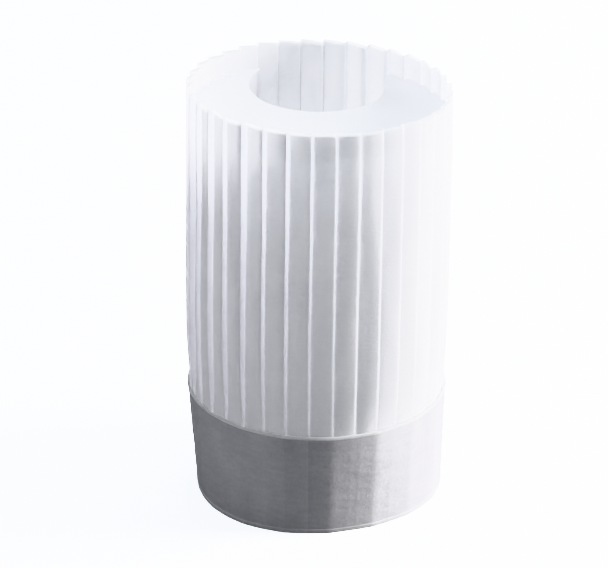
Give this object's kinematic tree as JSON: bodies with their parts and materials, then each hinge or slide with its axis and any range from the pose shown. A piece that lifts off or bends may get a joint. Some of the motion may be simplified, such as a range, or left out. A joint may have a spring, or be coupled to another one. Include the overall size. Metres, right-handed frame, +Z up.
{
  "type": "paper chef hat",
  "caption": "Tall knife-pleated paper chef hat, open below for the head, with a smooth head band and a sheet with an opening set just below its zigzag rim.",
  "frame": {"origin": "middle of the head opening, on the surface that the hat stands on", "axes": "+Z up the hat from the head opening to the rim; the front of the hat faces -Y and the open part of the top sheet is at +Y"},
  "size_m": [0.1845, 0.1843, 0.302],
  "materials": {
    "crown_paper": "matte pleated nonwoven paper, thin enough to glow against the light",
    "band_paper": "matte double nonwoven paper, finely crinkled",
    "sheet_paper": "matte smooth nonwoven paper"
  },
  "bodies": {
    "root": {"pleated_crown": "crown_paper", "head_band": "band_paper", "top_sheet": "sheet_paper"}
  },
  "joints": []
}
